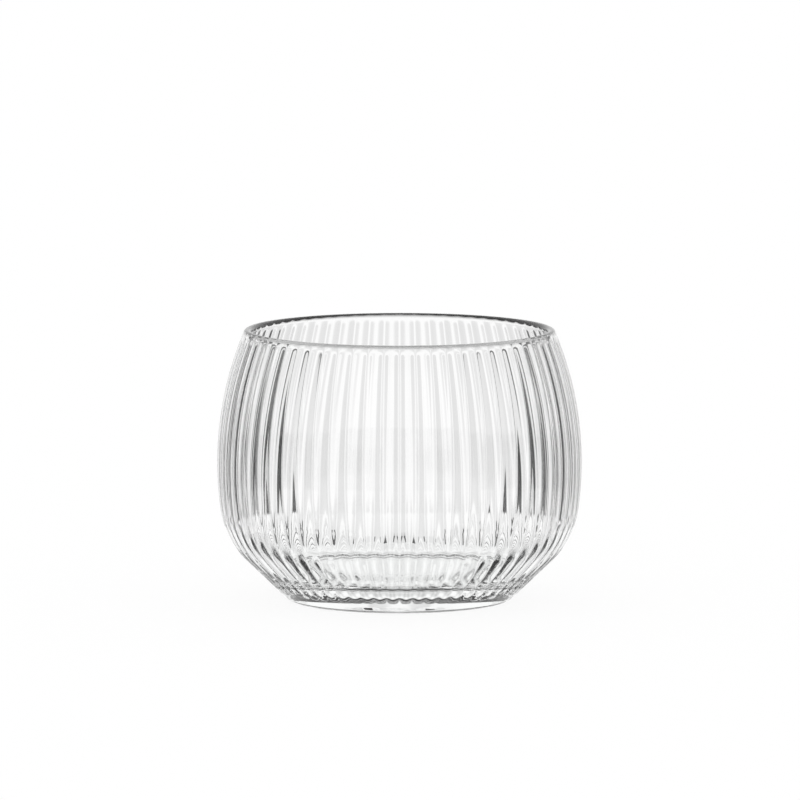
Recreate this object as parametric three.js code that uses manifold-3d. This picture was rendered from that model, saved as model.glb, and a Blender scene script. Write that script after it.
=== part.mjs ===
// A drinking tumbler of clear pressed glass, made in one piece: a barrel-shaped bowl
// with upright ribs round its outside, a plain rounded rim and a hollow under its base.
// Millimetres, +Z up. The origin is the centre of the ring that the glass stands on.
import * as THREE from "three";
import { mergeVertices } from "three/addons/utils/BufferGeometryUtils.js";
import Module from "manifold-3d";

// Outside shape
const height = 72.3; // standing ring to the top of the rim
const bellyRadius = 48.5; // widest ring, over the crests of the ribs
const bellyHeight = 36.8; // where the widest ring lies
const sideArcRadius = 89.6; // curve of the side, from the rim down to the knee
const kneeHeight = 16; // where the lines of the side and of the taper would meet
const kneeArcRadius = 22.5; // rounding of that meeting
const footRadius = 28; // outer edge of the standing ring
const heelRadius = 3.8; // rounding between the standing ring and the taper

// Glass thickness
const bellyWall = 2.9; // at the widest ring
const rimWall = 2.4; // just under the rim
const taperWall = 3.2; // lower wall, square to the taper
const floorThickness = 5.5; // standing plane to the inside floor
const innerKneeRadius = 14; // inside rounding between the side and the taper
const floorCornerRadius = 20; // inside rounding between the taper and the floor
const rimLand = 0.2; // flat strip on top of the rim, between its two roundings

// Hollow under the base, which leaves a standing ring
const standingRingWidth = 2.5;
const baseHollowDepth = 0.8;
const baseHollowFlatness = 6; // power of its section: the higher, the flatter its ceiling

// Ribs
const ribCount = 64;
const ribDepth = 0.4; // crest to groove
const plainRimBand = 0.9; // smooth glass between the rim's top and the ends of the ribs
const plainHeelBand = 3.2; // smooth glass between the heel and the ends of the ribs
const rimRunOut = 2; // length over which a rib rises to its full depth under the rim
const heelRunOut = 2.2; // the same at its lower end

// Fineness of the facets
const facetsPerRib = 3; // two flanks and the flat top between them
const insideFacets = 64;
const sideSteps = 5;
const roundingSteps = 4;
const hollowSteps = 5;

// Cutting bodies reach this far past the face that they open. The rim's flare is carried past the
// top plane by this share of its last facet.
const overcut = 5;
const flareOverrun = 0.5;

// Points closer than this are one point
const weldDistance = 1e-3;

const quarterTurn = Math.PI / 2;
const point = (radius, z) => new THREE.Vector2(radius, z);
const polar = (centre, radius, angle) =>
  point(centre.x + radius * Math.cos(angle), centre.y + radius * Math.sin(angle));
const angleTo = (from, to) => Math.atan2(to.y - from.y, to.x - from.x);

// Points of an arc about a centre, both ends included.
function arc(centre, radius, start, end, steps) {
  return Array.from({ length: steps + 1 }, (_, i) =>
    polar(centre, radius, start + ((end - start) * i) / steps),
  );
}

// The centre of a circle that rounds the corner between a straight line and the inside of a larger
// circle. The line passes through `start` at `slope`, and the rounding lies on its upper, inner side.
function roundingCentre(start, slope, large, radius) {
  const along = point(Math.cos(slope), Math.sin(slope));
  const inward = point(-along.y, along.x);
  const base = start.clone().addScaledVector(inward, radius);
  const offset = base.clone().sub(large.centre);
  const reach = large.radius - radius;
  const middle = -offset.dot(along);
  const half = Math.sqrt(middle * middle - offset.lengthSq() + reach * reach);
  return base.addScaledVector(along, middle + half);
}

// The side is an arc that stands upright at the belly. The taper leaves the heel's rounding as its
// tangent and aims at the knee point on the side.
const side = {
  centre: point(bellyRadius - sideArcRadius, bellyHeight),
  radius: sideArcRadius,
};
const kneeDrop = kneeHeight - side.centre.y;
const kneePoint = point(
  side.centre.x + Math.sqrt(sideArcRadius ** 2 - kneeDrop ** 2),
  kneeHeight,
);
const heelCentre = point(footRadius, heelRadius);
const taperSlope =
  angleTo(heelCentre, kneePoint) + Math.asin(heelRadius / heelCentre.distanceTo(kneePoint));
const heelEnd = polar(heelCentre, heelRadius, taperSlope - quarterTurn);
const kneeCentre = roundingCentre(heelEnd, taperSlope, side, kneeArcRadius);
const kneeStart = polar(kneeCentre, kneeArcRadius, taperSlope - quarterTurn);
const kneeEndAngle = angleTo(side.centre, kneeCentre);

// The rim's outer rounding touches the side and the top plane. Its inner twin lies across the land.
const rimRounding = (rimWall - rimLand) / 2;
const rimRise = height - rimRounding - side.centre.y;
const rimOuterCentre = point(
  side.centre.x + Math.sqrt((sideArcRadius - rimRounding) ** 2 - rimRise ** 2),
  height - rimRounding,
);
const rimInnerCentre = point(rimOuterCentre.x - rimLand, rimOuterCentre.y);
const rimLean = angleTo(side.centre, rimOuterCentre);

// Angles on the side's arc where the ribs end and where they reach full depth.
const ribTopAngle = Math.asin((height - plainRimBand - side.centre.y) / sideArcRadius);
const ribTopFullAngle = ribTopAngle - rimRunOut / sideArcRadius;

// The outside as rows from the bottom up, each with the share of the rib depth that it carries.
function outsideRows() {
  const alongTaper = (distance) =>
    heelEnd.clone().add(polar(point(0, 0), distance, taperSlope));
  const rows = (share, points) => points.map((at) => ({ at, share }));
  return [
    ...rows(0, [point(0, 0)]),
    ...rows(0, arc(heelCentre, heelRadius, -quarterTurn, taperSlope - quarterTurn, roundingSteps)),
    ...rows(0, [alongTaper(plainHeelBand)]),
    ...rows(1, [alongTaper(plainHeelBand + heelRunOut)]),
    ...rows(1, arc(kneeCentre, kneeArcRadius, taperSlope - quarterTurn, kneeEndAngle, roundingSteps)),
    ...rows(1, arc(side.centre, side.radius, kneeEndAngle, ribTopFullAngle, sideSteps).slice(1)),
    ...rows(0, [polar(side.centre, side.radius, ribTopAngle)]),
    ...rows(0, arc(rimOuterCentre, rimRounding, rimLean, quarterTurn, roundingSteps)),
    ...rows(0, [point(0, height)]),
  ];
}

// The hollow inside: a flat floor, a rounded corner, the taper and side walls, and the flare over
// the rim's inner rounding, whose last facet runs on past the top plane.
function insideRows() {
  const belly = point(bellyRadius - bellyWall, bellyHeight);
  const underRim = polar(rimInnerCentre, rimRounding, rimLean + Math.PI);
  const drop = belly.x - underRim.x;
  const rise = underRim.y - belly.y;
  const radius = (drop * drop + rise * rise) / (2 * drop);
  const wall = { centre: point(belly.x - radius, bellyHeight), radius };

  const inward = taperSlope + quarterTurn;
  const taperLine = polar(heelEnd, taperWall, inward);
  const kneeInside = roundingCentre(taperLine, taperSlope, wall, innerKneeRadius);
  const cornerZ = floorThickness + floorCornerRadius;
  const cornerLine = polar(taperLine, floorCornerRadius, inward);
  const cornerCentre = point(
    cornerLine.x + (cornerZ - cornerLine.y) / Math.tan(taperSlope),
    cornerZ,
  );

  const flare = arc(rimInnerCentre, rimRounding, rimLean + Math.PI, quarterTurn, roundingSteps);
  const [lastButOne, last] = flare.slice(-2);
  const past = last.clone().add(last.clone().sub(lastButOne).multiplyScalar(flareOverrun));
  return [
    point(0, floorThickness),
    ...arc(cornerCentre, floorCornerRadius, -quarterTurn, taperSlope - quarterTurn, roundingSteps),
    ...arc(
      kneeInside,
      innerKneeRadius,
      taperSlope - quarterTurn,
      angleTo(wall.centre, kneeInside),
      roundingSteps,
    ),
    ...arc(
      wall.centre,
      wall.radius,
      angleTo(wall.centre, kneeInside),
      angleTo(wall.centre, underRim),
      sideSteps,
    ).slice(1),
    ...flare.slice(1, -1),
    past,
    point(past.x, height + overcut),
    point(0, height + overcut),
  ];
}

// The hollow under the base: flat in the middle, and falling to the standing ring as a power of the
// share of the way out. The section runs on past the ring's inner edge, below the standing plane.
function baseHollowRows() {
  const mouth = footRadius - standingRingWidth;
  const ceiling = (out) =>
    point(mouth * out, baseHollowDepth * (1 - out ** baseHollowFlatness));
  const past = ceiling(1 + standingRingWidth / 2 / mouth);
  const rows = Array.from({ length: hollowSteps + 1 }, (_, i) =>
    ceiling(Math.sqrt(1 - i / hollowSteps)),
  );
  return [point(0, past.y), past, ...rows];
}

// Turns rows about the Z axis. Facet 0 faces -Y.
function turned(points, facets) {
  return new THREE.LatheGeometry(points, facets).rotateX(quarterTurn);
}

// Sets the grooves between the ribs into a turned outside. The first column of each rib lies at the
// bottom of a groove, and the others at the rib's top.
function ribbed(rows) {
  const geometry = turned(
    rows.map((row) => row.at),
    ribCount * facetsPerRib,
  );
  const position = geometry.getAttribute("position");
  for (let i = 0; i < position.count; i++) {
    const column = Math.floor(i / rows.length);
    const { at, share } = rows[i % rows.length];
    if (share === 0 || column % facetsPerRib > 0) continue;
    const scale = (at.x - ribDepth * share) / at.x;
    position.setX(i, position.getX(i) * scale);
    position.setY(i, position.getY(i) * scale);
  }
  return geometry;
}

const wasm = await Module();
wasm.setup();

function solid(geometry) {
  const bare = geometry.clone().deleteAttribute("normal").deleteAttribute("uv");
  const merged = mergeVertices(bare, weldDistance);
  return new wasm.Manifold(
    new wasm.Mesh({
      numProp: 3,
      vertProperties: merged.getAttribute("position").array,
      triVerts: new Uint32Array(merged.index.array),
    }),
  );
}

function geometryOf(body) {
  const mesh = body.getMesh();
  const geometry = new THREE.BufferGeometry();
  geometry.setAttribute("position", new THREE.BufferAttribute(mesh.vertProperties, 3));
  geometry.setIndex(new THREE.BufferAttribute(mesh.triVerts, 1));
  geometry.computeVertexNormals();
  return geometry;
}

const glassBody = solid(ribbed(outsideRows()))
  .subtract(solid(turned(insideRows(), insideFacets)))
  .subtract(solid(turned(baseHollowRows(), insideFacets)));

const clearGlass = new THREE.MeshStandardMaterial({
  color: 0xf3f7f6,
  roughness: 0.03,
  metalness: 0,
  flatShading: true,
  transparent: true,
  opacity: 0.35,
});

const tumbler = new THREE.Group();
const glass = new THREE.Mesh(geometryOf(glassBody), clearGlass);
glass.name = "glass_body";
tumbler.add(glass);

export default tumbler;
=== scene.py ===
import math

import bpy
import numpy as np
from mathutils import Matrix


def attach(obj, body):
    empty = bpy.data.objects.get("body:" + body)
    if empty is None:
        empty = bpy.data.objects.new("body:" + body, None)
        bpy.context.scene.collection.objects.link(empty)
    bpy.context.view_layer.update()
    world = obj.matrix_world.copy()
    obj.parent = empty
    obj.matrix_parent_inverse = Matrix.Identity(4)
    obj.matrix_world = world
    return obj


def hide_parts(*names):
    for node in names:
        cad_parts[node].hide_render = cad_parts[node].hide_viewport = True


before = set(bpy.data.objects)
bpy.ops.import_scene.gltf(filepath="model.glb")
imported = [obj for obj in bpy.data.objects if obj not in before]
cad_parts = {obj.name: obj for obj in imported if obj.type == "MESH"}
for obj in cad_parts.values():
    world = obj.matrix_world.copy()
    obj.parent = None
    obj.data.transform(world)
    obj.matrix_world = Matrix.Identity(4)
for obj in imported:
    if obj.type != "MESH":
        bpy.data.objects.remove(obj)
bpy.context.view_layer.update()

MM = 0.001
QUARTER = math.pi / 2
TURN = 2 * math.pi

# Outside of the glass. All lengths are in millimetres
HEIGHT = 72.3
BELLY_RADIUS = 48.5
BELLY_HEIGHT = 36.8
SIDE_ARC = 89.6
KNEE_HEIGHT = 16
KNEE_ARC = 22.5
FOOT_RADIUS = 28
HEEL_ARC = 3.8

# Thickness of the glass, and the roundings inside it
BELLY_WALL = 2.9
RIM_WALL = 2.4
TAPER_WALL = 3.2
FLOOR_THICKNESS = 5.5
INNER_KNEE_ARC = 14
FLOOR_CORNER_ARC = 20
RIM_LAND = 0.2

# Standing ring, and the hollow under the base
RING_WIDTH = 2.5
RING_EDGE = 0.2
HOLLOW_DEPTH = 0.8
HOLLOW_FLATNESS = 6

# Ribs: depth on the side, times its share on the taper, and how round the grooves are
RIB_COUNT = 64
RIB_DEPTH = 0.16
TAPER_RIB_SHARE = 2.8
SIDE_GROOVE_SOFTNESS = 0.15
TAPER_GROOVE_SOFTNESS = 0.08

# Plain bands beside the rim and the heel, and the length over which the ribs run out there
PLAIN_RIM_BAND = 0.9
PLAIN_HEEL_BAND = 3.2
RIM_RUN_OUT = 2
HEEL_RUN_OUT = 2.2
RUN_OUT_REACH = 1.6

# Waves in the depth of the ribs round the glass: height, count and shift
MOULD_WEAR = [(0.1, 5, 0.7), (0.07, 11, 2.1)]

# Points along each part of the section, and columns across a rib
HOLLOW_POINTS = 14
HEEL_POINTS = 10
TAPER_POINTS = 18
KNEE_POINTS = 12
SIDE_POINTS = 20
RUN_OUT_POINTS = 14
OUTER_RIM_POINTS = 9
INNER_RIM_POINTS = 11
WALL_POINTS = 16
INNER_KNEE_POINTS = 10
CORNER_POINTS = 12
FLOOR_POINTS = 5
RIB_COLUMNS = 10

# Finish of the glass: waves to the metre, bump in metres, bloom as (noise, roughness)
GLASS_IOR = 1.5
WAVE_SCALE = (70, 70, 16)
WAVE_DETAIL = 2
WAVE_STRENGTH = 0.04
WAVE_HEIGHT = 0.001
BLOOM_SCALE = 45
BLOOM_DETAIL = 3
BLOOM_STOPS = [(0.55, 0), (0.8, 0.012)]

# Colour of the glass where it is thick, and the grey of painted shade at the edge of the rim, with
# shares of the height
THICK_TINT = (0.985, 0.995, 0.99, 1)
TINT_END = 0.3
RIM_EDGE_SHADE = 0.28
RIM_SHADE_START = 0.984
RIM_SHADE_FULL = 0.992

# Light that is still in the glass after this many bounces ends dark
GLASS_BOUNCES = 8

# Studio: stops of (degrees, level). Panels go by the angle from the middle line of a sector, the
# fades and the shade by the angle over the level
SECTOR_COUNT = 8
PANEL_STOPS = [(0, 1), (0.8, 1), (2, 0.82), (7.2, 0.74), (7.8, 0), (17.7, 0), (18.2, 1)]
SOFT_STOPS = [(0, 1), (2, 1), (4, 0.82), (9, 0.76), (10, 1)]
SOFT_FADE = [(-78, 0), (-64, 1)]
PANEL_FADE = [(-9.8, 0), (-9.4, 1), (2, 1), (5, 0)]
HEIGHT_STOPS = [
    (-90, 0.95), (-60, 0.9), (-50, 0.78), (-42, 0.68), (-36, 0.8), (-31, 1), (55, 1), (65, 0.3),
    (90, 0.3),
]

# Table: its share of glow, and its size and level
TABLE_GLOW = 0.92
TABLE_RADIUS = 3000
TABLE_LEVEL = -0.2
TABLE_POINTS = 128

# Camera of the photograph: its place over a point on the axis, the pixel that this point falls on,
# and pixels to a millimetre there
VIEW_ELEVATION = 7.0
VIEW_DISTANCE = 2500
VIEW_SCALE = 3.759
VIEW_HEIGHT = 36
VIEW_PIXEL = (399.5, 464.7)
FRAME_PIXELS = 800
SENSOR = 36


def arc(centre, radius, start, end, count):
    """Points on a circle: centre + radius * (cos, sin) of angles evenly spaced between the ends."""
    angle = np.linspace(start, end, count)
    return np.stack([centre[0] + radius * np.cos(angle), centre[1] + radius * np.sin(angle)], 1)


def polar(centre, radius, angle):
    """One point at a distance and angle from a centre."""
    return np.array([centre[0] + radius * math.cos(angle), centre[1] + radius * math.sin(angle)])


def angle_to(start, end):
    """Angle of the line from one point to another."""
    return math.atan2(end[1] - start[1], end[0] - start[0])


def rounding_centre(start, slope, large_centre, large_radius, radius):
    """Centre of the circle that touches a line (through start, at slope) and the inside of a larger
    circle: the line is moved in by the radius and met with the larger circle made smaller by it."""
    along = np.array([math.cos(slope), math.sin(slope)])
    inward = np.array([-along[1], along[0]])
    base = np.asarray(start) + inward * radius
    offset = base - large_centre
    middle = -offset @ along
    half = math.sqrt(middle * middle - offset @ offset + (large_radius - radius) ** 2)
    return base + along * (middle + half)


def ease(x):
    """Smooth step: 3x^2 - 2x^3 between 0 and 1."""
    x = np.clip(x, 0, 1)
    return x * x * (3 - 2 * x)


# The side is an arc that stands upright at the belly. The taper leaves the heel's rounding as its
# tangent and aims at the knee point on the side, and the knee rounds their meeting
SIDE_CENTRE = np.array([BELLY_RADIUS - SIDE_ARC, BELLY_HEIGHT])
KNEE_REACH = math.sqrt(SIDE_ARC**2 - (KNEE_HEIGHT - BELLY_HEIGHT) ** 2)
KNEE_POINT = np.array([SIDE_CENTRE[0] + KNEE_REACH, KNEE_HEIGHT])
HEEL_CENTRE = np.array([FOOT_RADIUS, HEEL_ARC])
HEEL_GAP = math.hypot(*(KNEE_POINT - HEEL_CENTRE))
TAPER_SLOPE = angle_to(HEEL_CENTRE, KNEE_POINT) + math.asin(HEEL_ARC / HEEL_GAP)
TAPER_OUTWARD = TAPER_SLOPE - QUARTER
TAPER_INWARD = TAPER_SLOPE + QUARTER
HEEL_END = polar(HEEL_CENTRE, HEEL_ARC, TAPER_OUTWARD)
KNEE_CENTRE = rounding_centre(HEEL_END, TAPER_SLOPE, SIDE_CENTRE, SIDE_ARC, KNEE_ARC)
KNEE_END_ANGLE = angle_to(SIDE_CENTRE, KNEE_CENTRE)

# The rim's outer rounding touches the side and the top. Its inner twin lies across the land
RIM_ARC = (RIM_WALL - RIM_LAND) / 2
RIM_RISE = HEIGHT - RIM_ARC - BELLY_HEIGHT
RIM_REACH = math.sqrt((SIDE_ARC - RIM_ARC) ** 2 - RIM_RISE**2)
RIM_OUTER = np.array([SIDE_CENTRE[0] + RIM_REACH, HEIGHT - RIM_ARC])
RIM_INNER = RIM_OUTER - np.array([RIM_LAND, 0])
RIM_LEAN = angle_to(SIDE_CENTRE, RIM_OUTER)
RIM_END_ANGLE = RIM_LEAN + math.pi


def base_rows():
    """Hollow under the base and standing ring, from the middle out. The hollow's ceiling is
    depth * (1 - r^flatness), with r as a share of its mouth."""
    mouth = FOOT_RADIUS - RING_WIDTH
    out = np.sqrt(np.linspace(0, 1, HOLLOW_POINTS))
    hollow = np.stack([mouth * out, HOLLOW_DEPTH * (1 - out**HOLLOW_FLATNESS)], 1)
    ring = np.array([[mouth + RING_EDGE, 0], [FOOT_RADIUS - RING_EDGE, 0]])
    return [(hollow, 0), (ring, 0)]


def taper_rows():
    """Heel, taper and knee: an arc, a line and an arc that touch. The ribs ease in over the lower
    end of the taper, and over the knee they ease from their depth there to that on the side."""
    heel = arc(HEEL_CENTRE, HEEL_ARC, -QUARTER, TAPER_OUTWARD, HEEL_POINTS)
    knee_start = polar(KNEE_CENTRE, KNEE_ARC, TAPER_OUTWARD)
    step = np.linspace(0, math.hypot(*(knee_start - HEEL_END)), TAPER_POINTS)[1:-1]
    taper = HEEL_END + step[:, None] * np.array([math.cos(TAPER_SLOPE), math.sin(TAPER_SLOPE)])
    taper_share = TAPER_RIB_SHARE * ease((step - PLAIN_HEEL_BAND) / HEEL_RUN_OUT)
    knee = arc(KNEE_CENTRE, KNEE_ARC, TAPER_OUTWARD, KNEE_END_ANGLE, KNEE_POINTS)
    knee_ease = ease(np.linspace(0, 1, KNEE_POINTS))
    knee_share = TAPER_RIB_SHARE + (1 - TAPER_RIB_SHARE) * knee_ease
    return [(heel, 0), (taper, taper_share), (knee, knee_share)]


def side_rows():
    """Side, from the knee to the rim: one arc, with closer points where the ribs ease out."""
    rib_top = math.asin((HEIGHT - PLAIN_RIM_BAND - BELLY_HEIGHT) / SIDE_ARC)
    run_start = rib_top - RUN_OUT_REACH * RIM_RUN_OUT / SIDE_ARC
    side = arc(SIDE_CENTRE, SIDE_ARC, KNEE_END_ANGLE, run_start, SIDE_POINTS)[1:]
    run_angle = np.linspace(run_start, RIM_LEAN, RUN_OUT_POINTS)[1:]
    run = SIDE_CENTRE + SIDE_ARC * np.stack([np.cos(run_angle), np.sin(run_angle)], 1)
    run_share = ease((rib_top - run_angle) * SIDE_ARC / RIM_RUN_OUT)
    return [(side, 1), (run, run_share)]


def rim_rows():
    """Rim, from the outside in: two arcs with the flat land between them."""
    outer = arc(RIM_OUTER, RIM_ARC, RIM_LEAN, QUARTER, OUTER_RIM_POINTS)[1:]
    inner = arc(RIM_INNER, RIM_ARC, QUARTER, RIM_END_ANGLE, INNER_RIM_POINTS)
    return [(outer, 0), (inner, 0)]


def inside_rows():
    """Inside, from the rim down to the middle of the floor: wall, knee, taper, corner and floor.
    The wall is an arc that stands upright at the belly and ends under the rim, where it meets the
    rounding at a slight angle. The curves below it are arcs and lines that touch."""
    belly = np.array([BELLY_RADIUS - BELLY_WALL, BELLY_HEIGHT])
    wall_end = polar(RIM_INNER, RIM_ARC, RIM_END_ANGLE)
    drop, rise = belly[0] - wall_end[0], wall_end[1] - belly[1]
    wall_arc = (drop * drop + rise * rise) / (2 * drop)
    wall_centre = np.array([belly[0] - wall_arc, BELLY_HEIGHT])
    wall_top = angle_to(wall_centre, wall_end)
    taper_line = polar(HEEL_END, TAPER_WALL, TAPER_INWARD)
    knee_centre = rounding_centre(taper_line, TAPER_SLOPE, wall_centre, wall_arc, INNER_KNEE_ARC)
    knee_top = angle_to(wall_centre, knee_centre)
    corner_height = FLOOR_THICKNESS + FLOOR_CORNER_ARC
    corner_line = polar(taper_line, FLOOR_CORNER_ARC, TAPER_INWARD)
    corner_radius = corner_line[0] + (corner_height - corner_line[1]) / math.tan(TAPER_SLOPE)
    corner_centre = (corner_radius, corner_height)

    wall = arc(wall_centre, wall_arc, wall_top, knee_top, WALL_POINTS)[1:]
    knee = arc(knee_centre, INNER_KNEE_ARC, knee_top, TAPER_OUTWARD, INNER_KNEE_POINTS)[1:]
    corner = arc(corner_centre, FLOOR_CORNER_ARC, TAPER_OUTWARD, -QUARTER, CORNER_POINTS)
    floor_radius = np.linspace(corner[-1, 0], 0, FLOOR_POINTS)[1:]
    floor = np.stack([floor_radius, np.full_like(floor_radius, FLOOR_THICKNESS)], 1)
    return [(wall, 0), (knee, 0), (corner, 0), (floor, 0)]


def glass_section():
    """The closed section of the glass as (radius, height) points, with the share of the rib depth
    at each. It runs from the middle of the hollow under the base, up the outside, round the rim,
    and down the inside to the middle of the floor."""
    rows = base_rows() + taper_rows() + side_rows() + rim_rows() + inside_rows()
    points = np.concatenate([part for part, _ in rows])
    share = np.concatenate([np.broadcast_to(level, len(part)) for part, level in rows])
    return points, share


def turned_mesh(name, radius, height, angle, low_pole, high_pole):
    """Closed mesh of a surface turned about Z: x = r sin a, y = -r cos a. radius is a grid of rows
    by angles, and each end row is closed by a fan to a point on the axis."""
    rows, columns = radius.shape
    grid = np.stack([radius * np.sin(angle), -radius * np.cos(angle), height + 0 * radius], -1)
    poles = np.array([[0, 0, low_pole], [0, 0, high_pole]])
    points = np.concatenate([grid.reshape(-1, 3), poles]) * MM
    row = np.arange(rows - 1)[:, None] * columns
    here = np.arange(columns)
    beside = (here + 1) % columns
    quads = np.stack([row + here, row + beside, row + columns + beside, row + columns + here], -1)
    low = rows * columns
    last = (rows - 1) * columns
    fans = np.concatenate([
        np.stack([np.full(columns, low), beside, here], 1),
        np.stack([np.full(columns, low + 1), last + here, last + beside], 1),
    ])
    mesh = bpy.data.meshes.new(name)
    mesh.from_pydata(points.tolist(), [], quads.reshape(-1, 4).tolist() + fans.tolist())
    mesh.polygons.foreach_set("use_smooth", np.ones(len(mesh.polygons), bool))
    mesh.update()
    return mesh


def tumbler_mesh():
    """The ribbed glass: the section turned about Z, with its radius less depth * share * groove.
    Across a rib, u runs from 0 to 1 between groove middles, and the groove is
    1 - sqrt(sin^2(pi u) + e^2) / sqrt(1 + e^2): an arched rib with a rounded groove. The softness e
    goes from its value on the side to that on the taper as the share of the depth does.
    The depth varies a little round the glass, as it does in a worn mould."""
    points, share = glass_section()
    columns = RIB_COUNT * RIB_COLUMNS
    angle = np.arange(columns) / columns * TURN
    crest = np.sin(angle / 2 * RIB_COUNT)
    body, body_share = points[1:-1], share[1:-1, None]
    low = np.clip((body_share - 1) / (TAPER_RIB_SHARE - 1), 0, 1)
    soft = (SIDE_GROOVE_SOFTNESS + (TAPER_GROOVE_SOFTNESS - SIDE_GROOVE_SOFTNESS) * low) ** 2
    groove = 1 - np.sqrt(crest**2 + soft) / np.sqrt(1 + soft)
    wear = 1 + sum(size * np.sin(count * angle + shift) for size, count, shift in MOULD_WEAR)
    radius = body[:, :1] - RIB_DEPTH * body_share * groove * wear
    return turned_mesh("tumbler", radius, body[:, 1:], angle, points[0, 1], points[-1, 1])


class Value:
    """A socket that can be reckoned with: arithmetic on it adds Math nodes."""

    def __init__(self, nodes, socket):
        self.nodes = nodes
        self.socket = socket

    def math(self, operation, *others):
        return self.nodes.math(operation, self, *others)

    def __sub__(self, other):
        return self.math("SUBTRACT", other)

    def __rsub__(self, other):
        return self.nodes.math("SUBTRACT", other, self)

    def __mul__(self, other):
        return self.math("MULTIPLY", other)

    def __rmul__(self, other):
        return self.nodes.math("MULTIPLY", other, self)

    def __truediv__(self, other):
        return self.math("DIVIDE", other)

    def __rtruediv__(self, other):
        return self.nodes.math("DIVIDE", other, self)


class Nodes:
    """The node tree of a material or of the world, emptied for a new finish."""

    def __init__(self, owner):
        owner.use_nodes = True
        self.tree = owner.node_tree
        self.tree.nodes.clear()

    def add(self, kind, settings=None, sockets=None, output=0):
        """One node: its settings first (a ramp's stops are position and colour), then the values or
        links of its sockets. Gives the named output."""
        node = self.tree.nodes.new("ShaderNode" + kind)
        for name, value in (settings or {}).items():
            if name == "stops":
                elements = node.color_ramp.elements
                while len(elements) < len(value):
                    elements.new(0.5)
                for element, (position, colour) in zip(elements, value):
                    element.position = position
                    element.color = colour
            else:
                setattr(node, name, value)
        for name, value in (sockets or {}).items():
            if isinstance(value, Value):
                self.tree.links.new(value.socket, node.inputs[name])
            else:
                node.inputs[name].default_value = value
        return Value(self, node.outputs[output]) if len(node.outputs) else None

    def math(self, operation, *values):
        return self.add("Math", {"operation": operation}, dict(enumerate(values)))


def grey(level):
    """An opaque grey, from 0 for black to 1 for white."""
    return (level, level, level, 1)


def ramp(nodes, value, stops, low, high):
    """Grey level looked up from stops of (place, level), with places from low to high."""
    stops = [((place - low) / (high - low), grey(level)) for place, level in stops]
    return nodes.add("ValToRGB", {"stops": stops}, {0: (value - low) / (high - low)})


def mix(nodes, share, first, second, blend_type="MIX"):
    """Two colours mixed. A Mix node takes colours in sockets 6 and 7, and gives one in output 2."""
    settings = {"data_type": "RGBA", "blend_type": blend_type}
    return nodes.add("Mix", settings, {0: share, 6: first, 7: second}, 2)


def clear_glass():
    """Colourless pressed glass: a clear body with a trace of green where it is thick and painted
    shade in a dark band at the rim's edge, polished, with faint upright waves and the slight bloom
    of handled glass."""
    material = bpy.data.materials.new("clear_glass")
    nodes = Nodes(material)
    place = nodes.add("TexCoord", output="Object")
    stretched = nodes.add("Mapping", None, {"Vector": place, "Scale": WAVE_SCALE})
    waves = nodes.add("TexNoise", None, {"Vector": stretched, "Scale": 1, "Detail": WAVE_DETAIL})
    bump = nodes.add("Bump", None, {
        "Height": waves, "Strength": WAVE_STRENGTH, "Distance": WAVE_HEIGHT,
    })
    patches = nodes.add("TexNoise", None, {
        "Vector": place, "Scale": BLOOM_SCALE, "Detail": BLOOM_DETAIL,
    })
    bloom_stops = [(noise, grey(roughness)) for noise, roughness in BLOOM_STOPS]
    bloom = nodes.add("ValToRGB", {"stops": bloom_stops}, {0: patches})
    height = nodes.add("SeparateXYZ", None, {"Vector": place}, output="Z")
    # A trace of green low down, where the glass is thick, and painted shade at the top: a dark band
    # round the rim's edge
    tint_and_rim_shade_stops = [
        (0, THICK_TINT), (TINT_END, grey(1)),
        (RIM_SHADE_START, grey(1)), (RIM_SHADE_FULL, grey(RIM_EDGE_SHADE)),
    ]
    tint_and_rim_shade = nodes.add("ValToRGB", {"stops": tint_and_rim_shade_stops}, {0: height / (HEIGHT * MM)})
    surface = nodes.add("BsdfPrincipled", None, {
        "Base Color": tint_and_rim_shade, "Roughness": bloom, "IOR": GLASS_IOR, "Transmission Weight": 1,
        "Normal": bump,
    })
    nodes.add("OutputMaterial", None, {"Surface": surface})
    return material


def studio_world():
    """The studio: plain white, except to light that comes through the glass. That sees upright
    panels, white, grey and dark by their angle from the nearest middle line. Above and below a band
    at the level they give way to softer ones, which fade out straight below. All of them are dimmer
    low down and overhead."""
    world = bpy.data.worlds.new("studio")
    bpy.context.scene.world = world
    nodes = Nodes(world)
    way = nodes.add("TexCoord", output="Object")
    x, y, z = (nodes.add("SeparateXYZ", None, {"Vector": way}, output=axis) for axis in "XYZ")
    half = 180 / SECTOR_COUNT
    turn = x.math("ARCTAN2", y).math("PINGPONG", math.radians(half)) * math.degrees(1)
    rise = z.math("ARCSINE") * math.degrees(1)

    def by_turn(stops):
        return ramp(nodes, turn, stops, 0, half)

    def by_rise(stops):
        return ramp(nodes, rise, stops, -90, 90)

    soft = mix(nodes, by_rise(SOFT_FADE), grey(1), by_turn(SOFT_STOPS))
    panels = mix(nodes, by_rise(PANEL_FADE), soft, by_turn(PANEL_STOPS))
    shaded = mix(nodes, 1, panels, by_rise(HEIGHT_STOPS), "MULTIPLY")
    through = nodes.add("LightPath", output="Is Transmission Ray")
    light = nodes.add("Background", None, {
        "Color": mix(nodes, through, grey(1), shaded), "Strength": 1,
    })
    nodes.add("OutputWorld", None, {"Surface": light})


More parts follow.
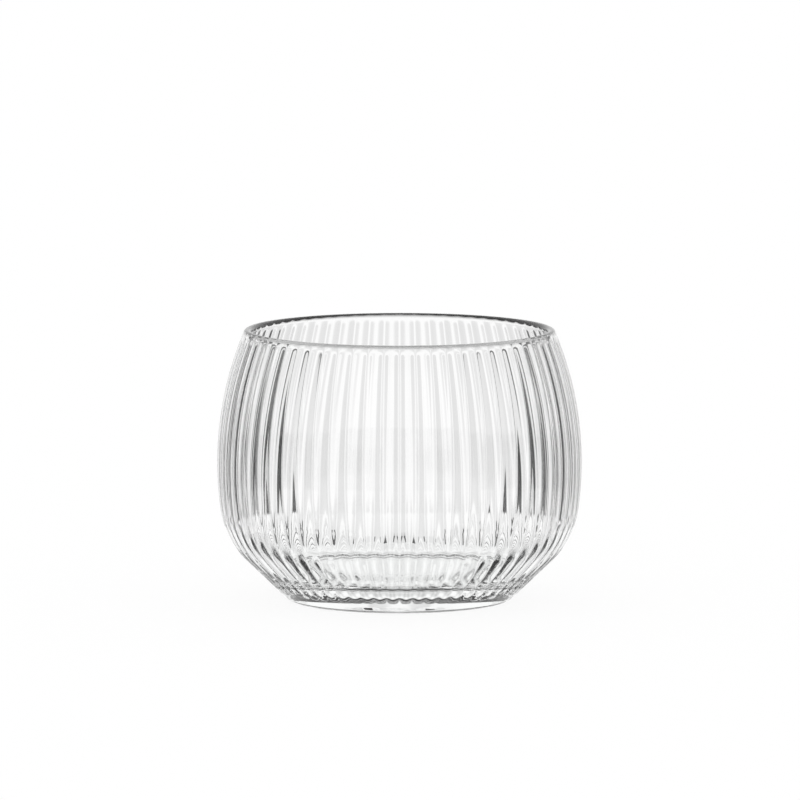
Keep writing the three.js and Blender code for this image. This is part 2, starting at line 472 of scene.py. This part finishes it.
def table_finish():
    """White table paper, with the faint shadow of the glass."""
    material = bpy.data.materials.new("white_table")
    nodes = Nodes(material)
    paper = nodes.add("BsdfDiffuse", None, {"Color": grey(1)})
    glow = nodes.add("Emission", None, {"Color": grey(1)})
    nodes.add("OutputMaterial", None, {
        "Surface": nodes.add("MixShader", None, {0: TABLE_GLOW, 1: paper, 2: glow}),
    })
    return material


def table():
    """A round sheet: the points of a circle, as one face. The glass sees the studio past it."""
    angle = np.arange(TABLE_POINTS) / TABLE_POINTS * TURN
    level = np.full_like(angle, TABLE_LEVEL / TABLE_RADIUS)
    edge = np.stack([np.cos(angle), np.sin(angle), level], 1)
    mesh = bpy.data.meshes.new("table")
    mesh.from_pydata((edge * TABLE_RADIUS * MM).tolist(), [], [list(range(TABLE_POINTS))])
    mesh.materials.append(table_finish())
    sheet = bpy.data.objects.new("table", mesh)
    bpy.context.scene.collection.objects.link(sheet)
    sheet.visible_transmission = False
    sheet.visible_glossy = False


def photo_camera():
    """The camera of the photograph: at a set elevation and distance from a point on the axis, aimed
    so that this point falls on its pixel."""
    elevation = math.radians(VIEW_ELEVATION)
    focal = VIEW_SCALE * VIEW_DISTANCE
    tilt = elevation - math.atan((VIEW_PIXEL[1] - FRAME_PIXELS / 2) / focal)
    yaw = math.atan((VIEW_PIXEL[0] - FRAME_PIXELS / 2) / focal)
    data = bpy.data.cameras.new("photo_camera")
    data.sensor_fit = "HORIZONTAL"
    data.sensor_width = SENSOR
    data.lens = focal * SENSOR / FRAME_PIXELS
    camera = bpy.data.objects.new("photo_camera", data)
    back = VIEW_DISTANCE * math.cos(elevation)
    rise = VIEW_HEIGHT + VIEW_DISTANCE * math.sin(elevation)
    camera.location = (0, -back * MM, rise * MM)
    camera.rotation_euler = (QUARTER - tilt, 0, yaw)
    bpy.context.scene.collection.objects.link(camera)
    bpy.context.scene.camera = camera


glass = bpy.data.objects.new("tumbler_glass", tumbler_mesh())
bpy.context.scene.collection.objects.link(glass)
glass.data.materials.append(clear_glass())
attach(glass, "root")
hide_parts("glass_body")

table()
studio_world()
photo_camera()

scene = bpy.context.scene
scene.view_settings.view_transform = "Standard"
scene.cycles.max_bounces = GLASS_BOUNCES
scene.cycles.transmission_bounces = GLASS_BOUNCES
scene.cycles.glossy_bounces = GLASS_BOUNCES
